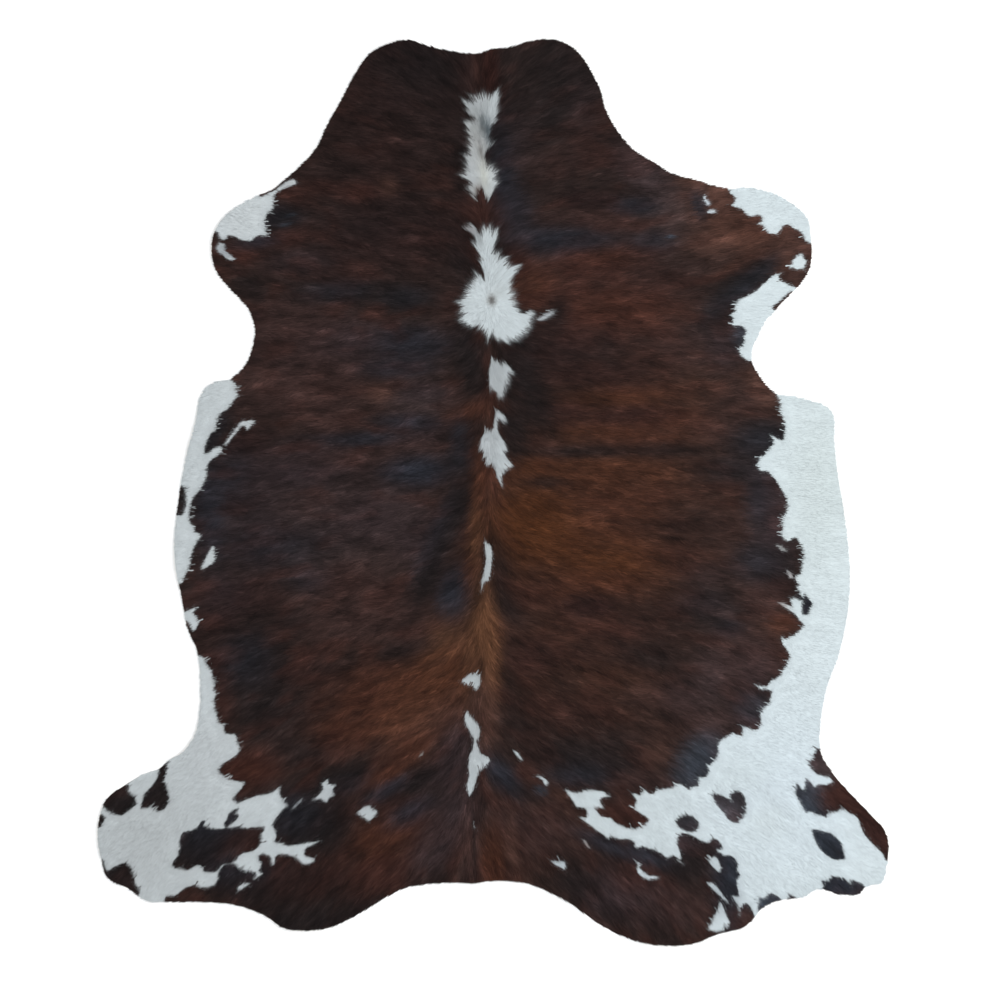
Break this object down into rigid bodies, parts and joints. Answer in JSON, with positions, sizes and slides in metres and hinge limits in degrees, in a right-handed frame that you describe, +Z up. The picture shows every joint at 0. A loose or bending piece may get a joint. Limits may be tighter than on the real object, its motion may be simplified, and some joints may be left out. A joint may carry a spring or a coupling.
{
  "type": "cowhide rug",
  "caption": "Flat rug made of one whole cowhide with its short hair on: brindle brown, with white along the spine, the belly edges and the legs.",
  "frame": {"origin": "middle of the rug's bounding box, on the floor under it", "axes": "+Y along the hide towards its neck, +X to the right as seen from above with the neck up, +Z up through the hair"},
  "size_m": [1.9197, 2.1999, 0.0106],
  "materials": {
    "hair_on_hide": "short, dense, lying hair with a soft satin sheen: brindle of red-brown and near-black, with cool white patches; the underside is undyed tan split leather"
  },
  "bodies": {
    "root": {"hide": "hair_on_hide"}
  },
  "joints": []
}
